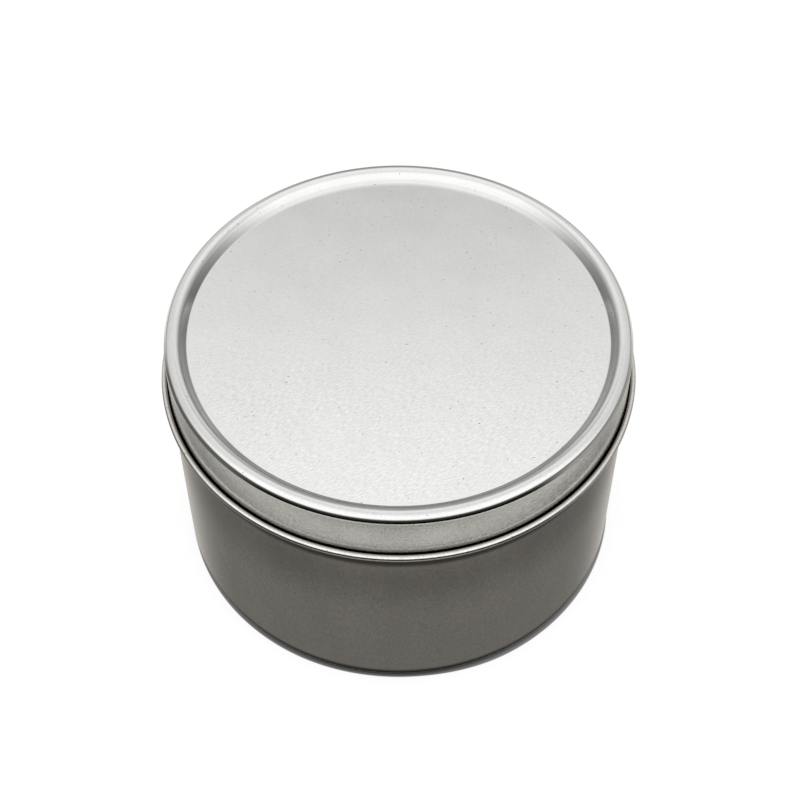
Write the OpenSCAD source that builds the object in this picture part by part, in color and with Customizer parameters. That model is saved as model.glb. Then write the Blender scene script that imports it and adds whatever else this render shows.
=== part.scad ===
// Round slip-lid candle tin: a drawn sheet-metal cup and a drawn cap that lifts straight off it.
// Millimetres, +Z up. The origin is on the axis, on the surface the tin stands on.

/* [Tin body] */
// Outer radius of the straight wall
wall_r = 40; // [36:0.5:44]
// Thickness of the tinplate, the same everywhere
sheet = 0.25; // [0.2:0.05:0.25]
// Outer radius of the bend between the wall and the base
corner_r = 2.6; // [2:0.1:4]
// Width of the flat ring that the tin stands on
foot_w = 2.4; // [1.6:0.2:3.6]
// How far the middle of the base is raised above that ring
recess_h = 0.9; // [0.7:0.1:1.3]
// Height of the middle of the stop bead
bead_z = 40.575; // [36.575:0.5:46.575]
// How far the stop bead stands out from the wall
bead_out = 1.2; // [1.15:0.05:1.25]
// Outer radius of the bends at the bead's top and bottom
bead_r = 0.525; // [0.5:0.025:0.55]
// Height of the upright face between those bends
bead_face = 0.25; // [0.25:0.05:0.4]
// How far the neck is set in from the wall
neck_in = 1; // [0.95:0.05:1.05]
// Outer radius of the curl rolled inward at the mouth
rim_curl_r = 0.65; // [0.55:0.05:0.7]

/* [Lid] */
// Gap between the curl at the skirt's lower edge and each side of the groove behind the bead
lid_gap = 0.15; // [0.1:0.05:0.15]
// Gap between that curl and the bottom of the groove
seat_gap = 0.1; // [0.05:0.05:0.3]
// How far the skirt leans in from its lower edge to its top
skirt_lean = 0.15; // [0:0.05:0.2]
// Height of the lid's flat panel above the middle of the bead
panel_up = 7.975; // [6.975:0.05:9.975]
// Depth of the panel below the lid's crest
panel_depth = 1.9; // [1.7:0.05:2.1]
// Outer radius of the brow, the bend between the panel's slope and the crest
brow_r = 1.75; // [1.65:0.05:1.9]
// Outer radius of the bend between the crest and the skirt
shoulder_r = 1.425; // [1.4:0.025:1.5]

/* [Hidden] */
$fn = 128;
right = [1, 0];
left = [-1, 0];
up = [0, 1];
down = [0, -1];
// A 3-4-5 slope, so every tangent point on it is an exact decimal
slope = [0.6, 0.8];
slope_out = [-0.8, 0.6];

foot_bend_r = sheet + 0.25;
step_bend_r = recess_h - foot_bend_r;
foot_in_r = wall_r - corner_r - foot_w;
base_r = foot_in_r - foot_bend_r - step_bend_r;

bead_c_r = wall_r + bead_out - bead_r;
neck_r = wall_r - neck_in;
groove_r = (bead_c_r - bead_r - neck_r) / 2;
groove_c_r = neck_r + groove_r;
bead_low_z = bead_z - bead_face / 2;
bead_high_z = bead_z + bead_face / 2;
under_bead_r = bead_c_r - wall_r;
wall_top = bead_low_z - bead_r - under_bead_r;

panel_z = bead_z + panel_up;
lid_top = panel_z + panel_depth;
rim_curl_z = lid_top - brow_r;

skirt_curl_r = groove_r - lid_gap;
skirt_curl_z = bead_high_z - groove_r + seat_gap + skirt_curl_r;
skirt_low_r = groove_c_r + skirt_curl_r;
skirt_high_r = skirt_low_r - skirt_lean;
panel_bend_r = 0.25;
slope_len = (panel_depth - (panel_bend_r + brow_r) * (1 - slope.x)) / slope.y;
crest_r = skirt_high_r - shoulder_r;
panel_r = crest_r - (panel_bend_r + brow_r) * slope.y - slope_len * slope.x;

tin_body();
lid();

// A straight run of sheet from a to b, its thickness on the side n points to: the left of that way
module strip(a, b, n) {
    polygon([a, b, b + n * sheet, a + n * sheet]);
}

// A bend of up to 90 degrees about c, with its hollow side at radius r, between two directions
module bend(c, r, from, to) {
    intersection() {
        translate(c)
            difference() {
                circle(r = r + sheet);
                circle(r = r);
            }
        polygon([c, c + 10 * from, c + 10 * (from + to), c + 10 * to]);
    }
}

// Three quarters of a turn, rolled inward: away from the wall it continues, over, and back to it
module curl(c, r, start) {
    bend(c, r - sheet, right, start);
    bend(c, r - sheet, start, left);
    bend(c, r - sheet, left, -start);
}

// Half section of the base: raised middle, step, standing ring and the bend into the wall
module base_section() {
    foot_c = [foot_in_r, foot_bend_r];
    step_c = [base_r, foot_bend_r];
    strip([0, recess_h], [base_r, recess_h], up);
    bend(step_c, step_bend_r, up, right);
    bend(foot_c, foot_bend_r - sheet, left, down);
    strip([foot_in_r, 0], [foot_in_r + foot_w, 0], up);
    bend([wall_r - corner_r, corner_r], corner_r - sheet, down, right);
}

// Half section of the stop bead, with the groove behind it that the lid's lower edge sits in
module bead_section() {
    low_c = [bead_c_r, bead_low_z];
    high_c = [bead_c_r, bead_high_z];
    groove_c = [groove_c_r, bead_high_z];
    bend([bead_c_r, wall_top], under_bead_r, left, up);
    bend(low_c, bead_r - sheet, down, right);
    strip(low_c + bead_r * right, high_c + bead_r * right, left);
    bend(high_c, bead_r - sheet, right, up);
    bend(high_c, bead_r - sheet, up, left);
    bend(groove_c, groove_r, right, down);
    bend(groove_c, groove_r, down, left);
}

// Drawn cup, open at the top
module tin_body() {
    color("silver")
        rotate_extrude() {
            base_section();
            strip([wall_r, corner_r], [wall_r, wall_top], left);
            bead_section();
            strip([neck_r, bead_high_z], [neck_r, rim_curl_z], left);
            curl([neck_r - rim_curl_r, rim_curl_z], rim_curl_r, up);
        }
}

// Half section of the lid's top: flat panel, slope, brow and the bend into the skirt
module lid_top_section() {
    panel_c = [panel_r, panel_z + panel_bend_r];
    slope_low = panel_c - slope_out * panel_bend_r;
    slope_high = slope_low + slope * slope_len;
    strip([panel_r, panel_z], [0, panel_z], down);
    bend(panel_c, panel_bend_r, down, -slope_out);
    strip(slope_high, slope_low, -slope_out);
    bend([crest_r, lid_top - brow_r], brow_r - sheet, slope_out, up);
    bend([crest_r, lid_top - shoulder_r], shoulder_r - sheet, up, right);
}

// Drawn cap with its lower edge rolled inward
module lid() {
    color("gainsboro")
        rotate_extrude() {
            lid_top_section();
            strip([skirt_low_r, skirt_curl_z], [skirt_high_r, lid_top - shoulder_r], left);
            curl([groove_c_r, skirt_curl_z], skirt_curl_r, down);
        }
}
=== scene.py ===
"""Candle tin: the looks of its two drawn tinplate pieces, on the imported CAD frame. Lengths in metres."""
import math

import bpy
import numpy as np
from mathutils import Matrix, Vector


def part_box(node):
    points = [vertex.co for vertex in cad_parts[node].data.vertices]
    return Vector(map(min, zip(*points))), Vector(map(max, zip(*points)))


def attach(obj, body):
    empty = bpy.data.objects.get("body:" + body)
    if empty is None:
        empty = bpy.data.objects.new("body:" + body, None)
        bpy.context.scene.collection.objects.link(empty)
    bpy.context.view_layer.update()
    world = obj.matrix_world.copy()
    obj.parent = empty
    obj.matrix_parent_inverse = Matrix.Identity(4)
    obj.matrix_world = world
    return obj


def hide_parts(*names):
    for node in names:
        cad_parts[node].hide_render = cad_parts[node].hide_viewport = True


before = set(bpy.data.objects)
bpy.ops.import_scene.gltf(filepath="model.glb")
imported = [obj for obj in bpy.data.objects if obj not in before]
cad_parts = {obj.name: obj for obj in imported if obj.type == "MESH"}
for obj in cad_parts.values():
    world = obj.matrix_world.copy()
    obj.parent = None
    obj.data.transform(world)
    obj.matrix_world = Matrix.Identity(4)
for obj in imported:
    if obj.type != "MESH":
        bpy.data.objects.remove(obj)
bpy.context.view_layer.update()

MM = 0.001
SHEET = 0.25 * MM
TURN = 256  # points round each ring of the turned meshes

body_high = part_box("tin_body")[1]
lid_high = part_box("lid")[1]


# ---------------------------------------------------------------- sheet-metal sections

def run(p, q, normal, cuts, worked=0.0):
    """A straight run of sheet: points of its outer face, with its normal and how hard it is worked there."""
    s = np.linspace(0, 1, cuts + 1)
    r, z = p[0] + (q[0] - p[0]) * s, p[1] + (q[1] - p[1]) * s
    return np.stack([r, z, np.full_like(s, normal[0]), np.full_like(s, normal[1]), 0 * s + worked], 1)


def bend(centre, radius, start, end, hollow=False, step=10.0):
    """A bend about centre between two angles in degrees. hollow: the outer face is inside the bend."""
    n = max(4, int(math.ceil(abs(end - start) / step)))
    a = np.radians(np.linspace(start, end, n + 1))
    c, s = np.cos(a), np.sin(a)
    sign = -1.0 if hollow else 1.0
    return np.stack([centre[0] + radius * c, centre[1] + radius * s, sign * c, sign * s, 0 * a + 1], 1)


def outline(runs):
    """The closed outline of a sheet: along its outer face, round the cut edge and back on the other side.

    With it comes 0 for each point of the outer face and 1 for the rest.
    """
    face = np.concatenate(runs)
    keep = np.ones(len(face), bool)
    keep[1:] = np.hypot(*(face[1:, :2] - face[:-1, :2]).T) > 1e-7
    face = face[keep]
    back = face[::-1].copy()
    back[:, :2] -= back[:, 2:4] * SHEET
    back[:, 2:4] *= -1
    end = face[-1]
    middle = end[:2] - end[2:4] * SHEET / 2
    along = face[-1, :2] - face[-2, :2]
    along = along / np.hypot(*along)
    a = np.radians(np.linspace(0, 180, 9))[1:-1, None]
    round_n = np.cos(a) * end[2:4] + np.sin(a) * along
    cap = np.concatenate([middle + round_n * SHEET / 2, round_n, np.ones((len(a), 1))], 1)
    side = np.concatenate([np.zeros(len(face)), np.ones(len(cap)), np.ones(len(back))])
    return np.concatenate([face, cap, back]), side


def turned(name, loop, marks):
    """A closed mesh: the outline turned about Z, with exact normals, and the marks as attributes."""
    angle = np.arange(TURN) * 2 * math.pi / TURN
    ca, sa = np.cos(angle), np.sin(angle)
    verts, normals, rings = [], [], []
    for r, z, nr, nz, _ in loop:
        first = len(verts)
        if r < 1e-9:
            rings.append([first])
            verts.append((0.0, 0.0, z))
            normals.append((0.0, 0.0, math.copysign(1.0, nz)))
            continue
        rings.append(list(range(first, first + TURN)))
        verts += zip(r * ca, r * sa, np.full(TURN, z))
        normals += zip(nr * ca, nr * sa, np.full(TURN, nz))
    counts = [len(ring) for ring in rings]
    r, z = loop[:, 0], loop[:, 1]
    if (r * np.roll(z, -1) - np.roll(r, -1) * z).sum() > 0:
        rings.reverse()
    faces = []
    for low, high in zip(rings[:-1], rings[1:]):
        for i in range(TURN):
            j = (i + 1) % TURN
            if len(low) == 1:
                faces.append((low[0], high[i], high[j]))
            elif len(high) == 1:
                faces.append((low[j], low[i], high[0]))
            else:
                faces.append((low[j], low[i], high[i], high[j]))
    mesh = bpy.data.meshes.new(name)
    mesh.from_pydata(verts, [], faces)
    for key, values in marks.items():
        attribute = mesh.attributes.new(key, "FLOAT", "POINT")
        attribute.data.foreach_set("value", np.repeat(values, counts).astype(np.float32))
    mesh.polygons.foreach_set("use_smooth", [True] * len(mesh.polygons))
    mesh.update()
    mesh.normals_split_custom_set_from_vertices(normals)
    piece = bpy.data.objects.new(name, mesh)
    bpy.context.scene.collection.objects.link(piece)
    return piece


def softened(loop, reach):
    """How bent each point of the outline is, spread along the sheet so it fades over reach."""
    d = np.concatenate([[0], np.cumsum(np.hypot(*(loop[1:, :2] - loop[:-1, :2]).T))])
    at_bend = d[loop[:, 4] > 0.5]
    gap = np.abs(d[:, None] - at_bend[None]).min(1)
    return np.exp(-((gap / reach) ** 2))


def mm(*values):
    return tuple(v * MM for v in values)


def fade(value, zero, one):
    """0 at zero and 1 at one, with a smooth change between them."""
    t = np.clip((value - zero) / (one - zero), 0, 1)
    return t * t * (3 - 2 * t)


# ---------------------------------------------------------------- tin body

# millimetres: heights of the middles of the stop bead's two bends, their outer radius, how far it stands out
BEAD_LOW, BEAD_HIGH, BEAD_R, BEAD_OUT = 40.45, 40.7, 0.525, 1.2
WALL = body_high.x / MM - BEAD_OUT  # the wall's outer radius
NECK = WALL - 1.0  # the neck's outer radius


def body_runs():
    """The body's outer face, from the middle of the base out, up the wall, over the bead and into the rim."""
    bead = WALL + BEAD_OUT - BEAD_R
    foot_c, step_c = (35.0, 0.5), (34.1, 0.5)
    foot_r, step_r, corner, recess = 0.5, 0.4, 2.6, 0.9
    fillet = bead - WALL
    groove = (bead - BEAD_R - NECK) / 2
    rim_r = 0.65
    rim_c = (NECK - rim_r, body_high.z / MM - rim_r)
    wall_top = BEAD_LOW - BEAD_R - fillet
    # the wall's rings are closer together near its foot and under the bead, where the painted shade fades
    foot_end, bead_start = 5, 35
    return [
        run(mm(0, recess), mm(step_c[0], recess), (0, -1), 6),
        bend(mm(*step_c), step_r * MM, 90, 0, hollow=True),
        bend(mm(*foot_c), foot_r * MM, 180, 270),
        run(mm(foot_c[0], 0), mm(WALL - corner, 0), (0, -1), 4),
        bend(mm(WALL - corner, corner), corner * MM, 270, 360, step=5),
        run(mm(WALL, corner), mm(WALL, foot_end), (1, 0), 8),
        run(mm(WALL, foot_end), mm(WALL, bead_start), (1, 0), 12),
        run(mm(WALL, bead_start), mm(WALL, wall_top), (1, 0), 14),
        bend(mm(bead, wall_top), fillet * MM, 180, 90, hollow=True),
        bend(mm(bead, BEAD_LOW), BEAD_R * MM, -90, 0),
        run(mm(bead + BEAD_R, BEAD_LOW), mm(bead + BEAD_R, BEAD_HIGH), (1, 0), 2, 1.0),
        bend(mm(bead, BEAD_HIGH), BEAD_R * MM, 0, 180),
        bend(mm(NECK + groove, BEAD_HIGH), groove * MM, 0, -180, hollow=True),
        run(mm(NECK, BEAD_HIGH), mm(NECK, rim_c[1]), (1, 0), 8),
        bend(mm(*rim_c), rim_r * MM, 0, 270),
    ]


# ---------------------------------------------------------------- lid

# millimetres: the flat panel's height and radius, how far the crest rises above it, the fold's outer radius
PANEL, PANEL_R, RISE, FOLD = 48.55, 36.0, 1.9, 0.25


def lid_runs():
    """The lid's outer face, from the middle of the panel over the crest and down the skirt into its curl."""
    skirt_low = lid_high.x / MM
    lean = 0.15
    skirt_high = skirt_low - lean
    top = PANEL + RISE
    brow = 1.75
    # the slope rises 4 for every 3 along, so its bends end on whole fractions of their radii
    crest_r = PANEL_R + 0.8 * FOLD + 0.75 * (RISE - 0.4 * FOLD - 0.4 * brow) + 0.8 * brow
    corner = skirt_high - crest_r
    slope = math.degrees(math.atan2(4, 3))
    curl = 0.425
    curl_c = (skirt_low - curl, BEAD_HIGH - 0.05)
    tall = top - corner - curl_c[1]
    skirt_length = math.hypot(tall, lean)
    slope_start = mm(PANEL_R + 0.8 * FOLD, PANEL + 0.4 * FOLD)
    slope_end = mm(crest_r - 0.8 * brow, top - 0.4 * brow)
    skirt_normal = (tall / skirt_length, lean / skirt_length)
    return [
        run(mm(0, PANEL), mm(PANEL_R, PANEL), (0, 1), 24),
        bend(mm(PANEL_R, PANEL + FOLD), FOLD * MM, 270, 270 + slope, hollow=True),
        run(slope_start, slope_end, (-0.8, 0.6), 3, 1.0),
        bend(mm(crest_r, top - brow), brow * MM, 90 + slope, 90, step=3),
        bend(mm(crest_r, top - corner), corner * MM, 90, 0, step=4),
        run(mm(skirt_high, top - corner), mm(skirt_low, curl_c[1]), skirt_normal, 24),
        bend(mm(*curl_c), curl * MM, 0, -270),
    ]


def tilt(loop):
    """The way each face of the outline looks, in degrees: 0 up, 90 outward, -90 inward."""
    return np.degrees(np.arctan2(loop[:, 2], loop[:, 3]))


def lid_marks(loop):
    """Painted shade, a tone darkened by painted shade, roughness and grain down the outline of the lid's
    outer face.
    """
    r, z, look = loop[:, 0] / MM, loop[:, 1] / MM, tilt(loop)
    shoulder_end = 49.0  # millimetres: below here the skirt runs straight
    slope = fade(look, -18, -44)
    shoulder = fade(look, -20, 14) * (r > PANEL_R + 1)
    shoulder = shoulder * np.where(look > 88, fade(z, shoulder_end - 0.2, shoulder_end), 1)
    fold = (r > PANEL_R - 0.1) & (r < PANEL_R + 2 * FOLD) & (look < -3)
    skirt = (look > 80) & (z < shoulder_end - 0.1)
    skirt_foot, curl = fade(z, 43.6, 42.0), fade(z, 40.85, 40.65)
    # painted shade darkens the foot of the skirt, most of all its curl down by the bead, and a little the
    # fold round the panel
    painted_shade = 0.45 * skirt_foot + 0.55 * curl + 0.15 * fold
    # painted shade: the slope and, less, the shoulder get a darker tone
    tone_and_shade = 1 - 0.48 * slope - 0.13 * shoulder
    rough = 0.18 - 0.05 * slope - 0.07 * shoulder
    return painted_shade, tone_and_shade, rough, np.where(skirt, 2.0, 1.0)


def body_marks(loop):
    """Painted shade, tone, roughness and grain down the outline of the body's outer face."""
    r, z, look = loop[:, 0] / MM, loop[:, 1] / MM, tilt(loop)
    bead_inner = WALL + 0.16
    bead = (z > BEAD_LOW - BEAD_R - 0.01) & (r > bead_inner)
    behind = (z > 39.6) & (z < 41.0) & (r > NECK - 0.1) & (r < bead_inner) & (look > -95)
    wall = (look > 60) & ~bead & ~behind & (z < BEAD_LOW)
    foot = (z < 6) & (look > 80)
    bead_top, bead_inside = fade(look, 22, -20), fade(look, -45, -70)
    upper_wall, under_bead = fade(z, 20, 35.5), fade(z, 36.6, 37.8)
    # painted shade lies on top of the bead and in the slit behind it, up the wall, most of all under the
    # bead, and at the foot, where the bottom bend mirrors the contact shadow
    painted_shade = bead * (0.5 * bead_top + 0.5 * bead_inside) + behind
    painted_shade = painted_shade + wall * (0.42 * upper_wall + 0.58 * under_bead)
    painted_shade = painted_shade + foot * 0.98 * fade(z, 3.5, 2.5)
    tone_and_shade = 1 - 0.15 * bead
    rough = 0.22 - 0.15 * bead
    return np.clip(painted_shade, 0, 1), tone_and_shade, rough, np.ones(len(loop))


# ---------------------------------------------------------------- materials

def material(name):
    """A new material and its empty node tree."""
    m = bpy.data.materials.new(name)
    m.use_nodes = True
    tree = m.node_tree
    tree.nodes.clear()
    return m, tree


class Nodes:
    """Short names for the nodes of one material."""

    def __init__(self, tree):
        self.tree = tree

    def add(self, kind, **sockets):
        node = self.tree.nodes.new(kind)
        for key, value in sockets.items():
            self.put(node, key, value)
        return node

    def put(self, node, key, value):
        socket = node.inputs[key]
        if isinstance(value, bpy.types.NodeSocket):
            self.tree.links.new(value, socket)
        else:
            socket.default_value = value

    def math(self, op, a, b=None, clamp=False):
        node = self.tree.nodes.new("ShaderNodeMath")
        node.operation, node.use_clamp = op, clamp
        for i, v in enumerate((a, b)):
            if v is not None:
                self.put(node, i, v)
        return node.outputs[0]

    def span(self, value, low, high, to_low=0.0, to_high=1.0, smooth=False):
        node = self.tree.nodes.new("ShaderNodeMapRange")
        node.interpolation_type = "SMOOTHSTEP" if smooth else "LINEAR"
        ends = {"From Min": low, "From Max": high, "To Min": to_low, "To Max": to_high}
        for key, v in {"Value": value, **ends}.items():
            self.put(node, key, v)
        return node.outputs[0]

    def blend(self, factor, a, b):
        node = self.tree.nodes.new("ShaderNodeMix")
        node.data_type = "RGBA"
        self.put(node, 0, factor)
        self.put(node, 6, a)
        self.put(node, 7, b)
        return node.outputs[2]

    def tinted(self, a, b):
        node = self.tree.nodes.new("ShaderNodeMix")
        node.data_type, node.blend_type = "RGBA", "MULTIPLY"
        self.put(node, 0, 1.0)
        self.put(node, 6, a)
        self.put(node, 7, b)
        return node.outputs[2]

    def place(self, scale, turn=0.0):
        """Object coordinates in metres, turned about Z and then scaled."""
        coords = self.tree.nodes.new("ShaderNodeTexCoord").outputs["Object"]
        if turn:
            first = self.add("ShaderNodeMapping", Vector=coords)
            first.inputs["Rotation"].default_value = (0, 0, math.radians(turn))
            coords = first.outputs[0]
        node = self.add("ShaderNodeMapping", Vector=coords)
        node.inputs["Scale"].default_value = scale
        return node.outputs[0]

    def noise(self, vector, detail, rough=0.5, distort=0.0):
        return self.add("ShaderNodeTexNoise", Vector=vector, Scale=1.0, Detail=detail,
                        Roughness=rough, Distortion=distort).outputs["Fac"]

    def attribute(self, name):
        node = self.tree.nodes.new("ShaderNodeAttribute")
        node.attribute_name = name
        return node.outputs["Fac"]


# the colour of the painted shade in the slit, under the bead and at the foot
PAINTED_SHADE_COLOUR = (0.13, 0.115, 0.1, 1)
INSIDE_TONE, INSIDE_ROUGH = 0.95, 0.24


def tinplate(name, light, dark, grain, mottle, drawn):
    """Bright tinplate.

    grain and drawn are the heights in metres of the rolled grain and of the fine drawing marks;
    mottle is how much each of the two changes the colour.
    """
    m, tree = material(name)
    n = Nodes(tree)
    coords = n.tree.nodes.new("ShaderNodeTexCoord").outputs["Object"]
    y = n.add("ShaderNodeSeparateXYZ", Vector=coords).outputs[1]
    bent = n.attribute("worked")
    painted_shade = n.attribute("painted_shade")
    # noise cells per metre along x, y and z: long fine ripples in one direction over the whole blank,
    # sparse specks, fine drawing marks and slow clouding
    ripple = n.noise(n.place((1200, 5000, 4200), turn=-32), detail=0.0, distort=0.2)
    speck = n.noise(n.place((2300, 2300, 2300)), detail=0.0)
    marks = n.noise(n.place((2600, 2600, 1200)), detail=2.0, rough=0.6)
    cloud = n.noise(n.place((110, 110, 45)), detail=3.0, rough=0.6)
    # the grain is crispest at the front of the blank and weaker where the sheet is bent
    middle = n.span(y, -17 * MM, 5 * MM, 1.0, 0.36, smooth=True)
    near = n.math("MULTIPLY", middle, n.span(y, 5 * MM, 26 * MM, 1.0, 0.5))
    kept = n.math("MULTIPLY", n.span(bent, 0.0, 1.0, 1.0, 0.3), near)
    kept = n.math("MULTIPLY", kept, n.attribute("coarse"))
    rolled = n.math("MULTIPLY", n.math("SUBTRACT", ripple, 0.5), kept)
    height = n.math("ADD", n.math("MULTIPLY", rolled, grain), n.math("MULTIPLY", marks, drawn))
    bump = n.add("ShaderNodeBump", Strength=1.0, Distance=1.0, Height=height)
    rough = n.math("ADD", n.attribute("rough"), n.span(cloud, 0.3, 0.7, -0.02, 0.02))
    rough = n.math("ADD", rough, n.math("MULTIPLY", rolled, 0.05))
    drawn_tone = n.math("MULTIPLY", n.math("SUBTRACT", marks, 0.5), mottle[1])
    fine = n.math("ADD", n.math("MULTIPLY", rolled, mottle[0]), drawn_tone)
    # the painted shade in the tone fades out toward the back
    tone_and_shade = n.math("MAXIMUM", n.attribute("tone_and_shade"), n.span(y, 8 * MM, 30 * MM, 0.4, 0.87))
    shade = n.math("MULTIPLY", tone_and_shade, n.math("ADD", 1.0, fine))
    shade = n.math("MULTIPLY", shade, n.span(speck, 0.835, 0.86, 1.0, 0.4, smooth=True))
    colour = n.blend(n.span(cloud, 0.3, 0.7), dark, light)
    tint = n.add("ShaderNodeCombineColor", Red=shade, Green=shade, Blue=shade).outputs[0]
    colour = n.tinted(colour, tint)
    # painted shade: the slit by the bead, the wall under it, the skirt's foot and the tin's foot are darkened
    # in the colour
    colour = n.blend(painted_shade, colour, PAINTED_SHADE_COLOUR)
    shader = n.add("ShaderNodeBsdfPrincipled", Metallic=1.0, Roughness=rough, Normal=bump.outputs[0])
    n.put(shader, "Base Color", colour)
    n.add("ShaderNodeOutputMaterial", Surface=shader.outputs[0])
    return m


lid_tin = tinplate("lid_tinplate", light=(0.84, 0.84, 0.825, 1), dark=(0.80, 0.80, 0.785, 1),
                   grain=2.2e-6, mottle=(0.4, 0.12), drawn=0.0)
body_tin = tinplate("body_tinplate", light=(0.88, 0.85, 0.81, 1), dark=(0.79, 0.76, 0.725, 1),
                    grain=0.6e-6, mottle=(0.12, 0.5), drawn=0.6e-6)

for node, runs, marked, slot, tin in (("tin_body", body_runs, body_marks, "body_tinplate", body_tin),
                                      ("lid", lid_runs, lid_marks, "lid_tinplate", lid_tin)):
    loop, side = outline(runs())
    painted_shade, tone_and_shade, rough, coarse = marked(loop)
    outer = 1 - side
    marks = {"worked": softened(loop, 0.5 * MM), "coarse": coarse, "painted_shade": painted_shade * outer,
             "tone_and_shade": tone_and_shade * outer + INSIDE_TONE * side, "rough": rough * outer + INSIDE_ROUGH * side}
    piece = turned(node + "_shell", loop, marks)
    piece.data.materials.append(tin)
    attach(piece, node)
    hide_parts(node)


# ---------------------------------------------------------------- floor, room and light

FLOOR_R, ROOM_R, BACKDROP_R = 1.2, 3.0, 3.2
# the ring of lit floor that the tin mirrors: where it begins, starts to brighten, is brightest and has ended
RING = [r * MM for r in (66.3, 68.6, 74.0, 75.6)]


def stage_mesh(name, verts, faces, mat, **seen_by):
    """A piece of the set, not of the tin. seen_by says which kinds of ray see it; the rest do."""
    mesh = bpy.data.meshes.new(name)
    mesh.from_pydata(verts, [], faces)
    mesh.materials.append(mat)
    thing = bpy.data.objects.new(name, mesh)
    bpy.context.scene.collection.objects.link(thing)
    for ray, seen in seen_by.items():
        setattr(thing, "visible_" + ray, seen)


def disc(inner, outer, z, turns=96):
    """A flat ring facing up; with inner 0 it is a whole disc."""
    angle = [2 * math.pi * j / turns for j in range(turns)]
    verts = [(r * math.cos(a), r * math.sin(a), z) for r in (inner, outer) for a in angle]
    faces = [(j, turns + j, turns + (j + 1) % turns, (j + 1) % turns) for j in range(turns)]
    if not inner:
        verts = [(0, 0, z)] + verts[turns:]
        faces = [(0, 1 + j, 1 + (j + 1) % turns) for j in range(turns)]
    return verts, faces


def dome(radius, turns=64, rows=32):
    """A ball round the set, seen from inside."""
    verts = [(0, 0, radius)]
    for i in range(1, rows):
        a = math.pi * i / rows
        for j in range(turns):
            b = 2 * math.pi * j / turns
            verts.append((radius * math.sin(a) * math.cos(b), radius * math.sin(a) * math.sin(b),
                          radius * math.cos(a)))
    verts.append((0, 0, -radius))
    faces = [(0, 1 + (j + 1) % turns, 1 + j) for j in range(turns)]
    for i in range(rows - 2):
        low = 1 + i * turns
        high = low + turns
        faces += [(low + j, low + (j + 1) % turns, high + (j + 1) % turns, high + j) for j in range(turns)]
    low = 1 + (rows - 2) * turns
    faces += [(low + j, low + (j + 1) % turns, len(verts) - 1) for j in range(turns)]
    return verts, faces


def from_above_only(n, shader):
    """The surface is there only from above, so the tin's base can be looked at from below."""
    behind = n.add("ShaderNodeNewGeometry").outputs["Backfacing"]
    clear = n.add("ShaderNodeBsdfTransparent")
    mix = n.add("ShaderNodeMixShader")
    n.put(mix, 0, behind)
    n.put(mix, 1, shader)
    n.put(mix, 2, clear.outputs[0])
    return mix.outputs[0]


def radius_and_heading(n):
    """Distance from the Z axis, the unit heading (x, y) away from it, and the height."""
    coords = n.tree.nodes.new("ShaderNodeTexCoord").outputs["Object"]
    xyz = n.add("ShaderNodeSeparateXYZ", Vector=coords)
    x, y, z = xyz.outputs
    squares = n.math("ADD", n.math("MULTIPLY", x, x), n.math("MULTIPLY", y, y))
    far = n.math("MAXIMUM", n.math("SQRT", squares), 1e-6)
    return far, n.math("DIVIDE", x, far), n.math("DIVIDE", y, far), z


def shares(n, u, v, back, front):
    """How much each heading belongs to the back, the front, the right and the left of the set."""
    is_back = n.span(v, *back, smooth=True)
    is_front = n.span(v, *front, smooth=True)
    side = n.math("SUBTRACT", n.math("SUBTRACT", 1.0, is_back), is_front)
    is_right = n.math("MULTIPLY", side, n.span(u, -0.3, 0.3, smooth=True))
    return is_back, is_front, is_right, n.math("SUBTRACT", side, is_right)


def floor_material():
    """Plain white, with a narrow contact shadow round the tin's foot, which reaches further on the right."""
    m, tree = material("floor_white")
    n = Nodes(tree)
    far, u, v, _ = radius_and_heading(n)
    to_right = n.span(u, 0.05, 0.5, 0.0, 0.38 * MM, smooth=True)
    to_left = n.span(u, -0.5, -0.05, 0.12 * MM, 0.0, smooth=True)
    reach = n.math("ADD", to_right, to_left)
    reach = n.math("ADD", reach, n.span(v, -1.0, 0.0, 0.0, 0.15 * MM))
    out = n.math("SUBTRACT", far, reach)
    # black under the tin, a little lighter under its bottom bend, and fully lit past the shadow's reach
    under_bend = n.span(far, 38.9 * MM, 39.6 * MM, 0.0, 0.15)
    lit = n.math("ADD", under_bend, n.span(far, 39.6 * MM, 40.1 * MM, 0.0, 0.1))
    lit = n.math("ADD", lit, n.span(out, 39.6 * MM, 39.85 * MM, 0.0, 0.85, smooth=True), clamp=True)
    shader = n.add("ShaderNodeBsdfPrincipled", Roughness=0.9)
    n.put(shader, "Base Color", n.blend(lit, (0.01, 0.01, 0.01, 1), (0.2, 0.2, 0.2, 1)))
    n.put(shader, "Emission Strength", n.span(lit, 0.0, 1.0, 0.0, 0.84))
    shader.inputs["Specular IOR Level"].default_value = 0.0
    shader.inputs["Emission Color"].default_value = (1, 1, 1, 1)
    n.add("ShaderNodeOutputMaterial", Surface=from_above_only(n, shader.outputs[0]))
    return m


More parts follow.
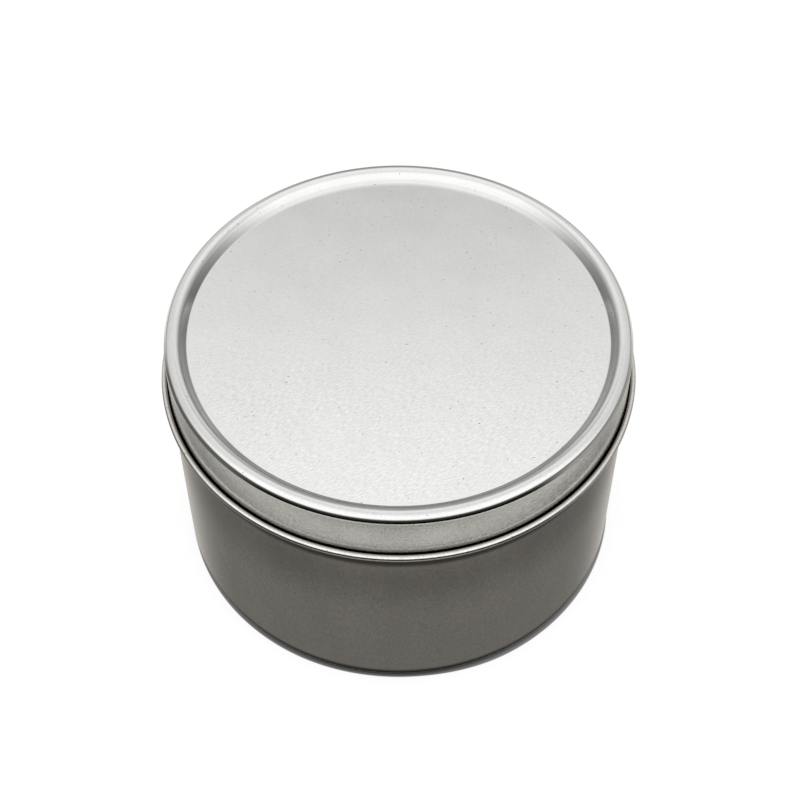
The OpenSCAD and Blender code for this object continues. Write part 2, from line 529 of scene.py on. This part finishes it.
def mirrored_floor_material():
    """What the tin mirrors of the floor: a lit ring round it, then dark in front and brighter elsewhere."""
    m, tree = material("floor_mirrored")
    n = Nodes(tree)
    far, u, v, _ = radius_and_heading(n)
    is_back, is_front, is_right, is_left = shares(n, u, v, (0.3, 0.62), (-0.35, -0.66))
    ring = n.math("ADD", n.span(far, RING[1], RING[2], 0.32, 1.05), n.math("MULTIPLY", is_back, 0.3))
    beyond = n.math("MULTIPLY", is_front, n.span(far, 110 * MM, 230 * MM, 0.002, 0.03))
    beyond = n.math("ADD", beyond, n.math("MULTIPLY", is_back, 0.95))
    beyond = n.math("ADD", beyond, n.math("MULTIPLY", is_right, 0.40))
    beyond = n.math("ADD", beyond, n.math("MULTIPLY", is_left, 0.14))
    out = n.span(far, RING[2], RING[3], smooth=True)
    ring = n.math("MULTIPLY", ring, n.math("SUBTRACT", 1.0, out))
    light = n.math("ADD", ring, n.math("MULTIPLY", beyond, out))
    glow = n.add("ShaderNodeEmission", Color=(1.02, 1.0, 0.93, 1), Strength=light)
    n.add("ShaderNodeOutputMaterial", Surface=from_above_only(n, glow.outputs[0]))
    return m


def climb(n, degrees, stops):
    """Brightness by the height above the horizon in degrees, between stops (degrees, brightness).

    A ramp's colours end at 1 and the stops don't, so the ramp holds half of each.
    """
    node = n.tree.nodes.new("ShaderNodeValToRGB")
    n.put(node, 0, n.span(degrees, -90, 90))
    ramp = node.color_ramp
    while len(ramp.elements) < len(stops):
        ramp.elements.new(0.5)
    for element, (at, light) in zip(ramp.elements, stops):
        element.position = (at + 90) / 180
        element.color = (light / 2, light / 2, light / 2, 1)
    return n.math("MULTIPLY", node.outputs[0], 2.0)


# brightness by the height above the horizon in degrees, toward each side of the set
BACK_LIGHT = [(0, 0.34), (12, 0.31), (26, 0.36), (36, 0.45), (41, 0.56), (46, 0.73), (55, 1.09), (90, 1.0)]
FRONT_LIGHT = [(0, 0.03), (5, 0.12), (9, 0.3), (13, 0.65), (18, 1.15), (25, 1.35), (44, 1.4), (64, 1.3),
               (80, 1.06), (90, 1.0)]
RIGHT_LIGHT = [(0, 0.18), (4, 0.30), (9, 0.54), (15, 0.68), (21, 0.78), (30, 0.84), (39, 0.87), (48, 0.88),
               (60, 1.0), (90, 1.0)]
LEFT_LIGHT = [(0, 0.26), (4, 0.39), (9, 0.6), (18, 0.78), (30, 0.86), (39, 0.88), (48, 0.90),
              (60, 1.0), (90, 1.0)]
WARM, WHITE = (1.02, 1.0, 0.94, 1), (1, 1, 1, 1)


def room_material():
    """The studio round the set: a bright ceiling, lowest in front, and a dim band at the back."""
    m, tree = material("room_light")
    n = Nodes(tree)
    far, u, v, z = radius_and_heading(n)
    slope = n.math("DIVIDE", z, far)
    degrees = n.math("MULTIPLY", n.math("ARCTANGENT", slope), 180 / math.pi)
    is_back, is_front, is_right, is_left = shares(n, u, v, (0.955, 0.998), (0.4, -0.4))
    above = n.math("MULTIPLY", climb(n, degrees, BACK_LIGHT), is_back)
    for stops, share in ((FRONT_LIGHT, is_front), (RIGHT_LIGHT, is_right), (LEFT_LIGHT, is_left)):
        above = n.math("ADD", above, n.math("MULTIPLY", climb(n, degrees, stops), share))
    # below the horizon the room is brightest behind the tin, and dark underfoot
    behind = n.math("MAXIMUM", v, 0.0)
    around = n.math("ADD", 0.16, n.math("MULTIPLY", 0.78, n.math("POWER", behind, 4.0)))
    below = n.math("MULTIPLY", around, n.span(degrees, -84, -58, 0.12, 1.0, smooth=True))
    under = n.span(z, -0.01, 0.0)
    below = n.math("MULTIPLY", below, n.math("SUBTRACT", 1.0, under))
    light = n.math("ADD", n.math("MULTIPLY", above, under), below)
    warmth = n.blend(under, WARM, WHITE)
    glow = n.add("ShaderNodeEmission", Color=warmth, Strength=light)
    n.add("ShaderNodeOutputMaterial", Surface=glow.outputs[0])
    return m


def backdrop_material():
    """What the camera sees past the floor's edge."""
    m, tree = material("backdrop_white")
    n = Nodes(tree)
    glow = n.add("ShaderNodeEmission", Color=(1, 1, 1, 1), Strength=0.95)
    n.add("ShaderNodeOutputMaterial", Surface=glow.outputs[0])
    return m


stage_mesh("floor", *disc(0, FLOOR_R, -0.02 * MM), floor_material(), glossy=False)
stage_mesh("floor_mirrored", *disc(RING[0], FLOOR_R, -0.04 * MM), mirrored_floor_material(),
           camera=False, diffuse=False, shadow=False, transmission=False)
stage_mesh("room", *dome(ROOM_R), room_material(), camera=False, shadow=False)
stage_mesh("backdrop", *dome(BACKDROP_R), backdrop_material(),
           diffuse=False, glossy=False, shadow=False, transmission=False)

# ---------------------------------------------------------------- camera

ELEVATION = math.radians(49.19)  # above the lid's panel
DISTANCE = 270.53 * MM
AIM = (38.337, 0.077, -0.169)  # degrees: tilt, roll and pan
panel_middle = Vector((0, 0, PANEL * MM))
camera_data = bpy.data.cameras.new("camera")
camera_data.lens = 71.28
camera_data.sensor_width = 36
camera_data.clip_start, camera_data.clip_end = 0.01, 20
camera = bpy.data.objects.new("camera", camera_data)
camera.location = panel_middle + Vector((0, -math.cos(ELEVATION), math.sin(ELEVATION))) * DISTANCE
camera.rotation_euler = [math.radians(a) for a in AIM]
bpy.context.scene.collection.objects.link(camera)
bpy.context.scene.camera = camera
bpy.context.scene.view_settings.view_transform = "Standard"
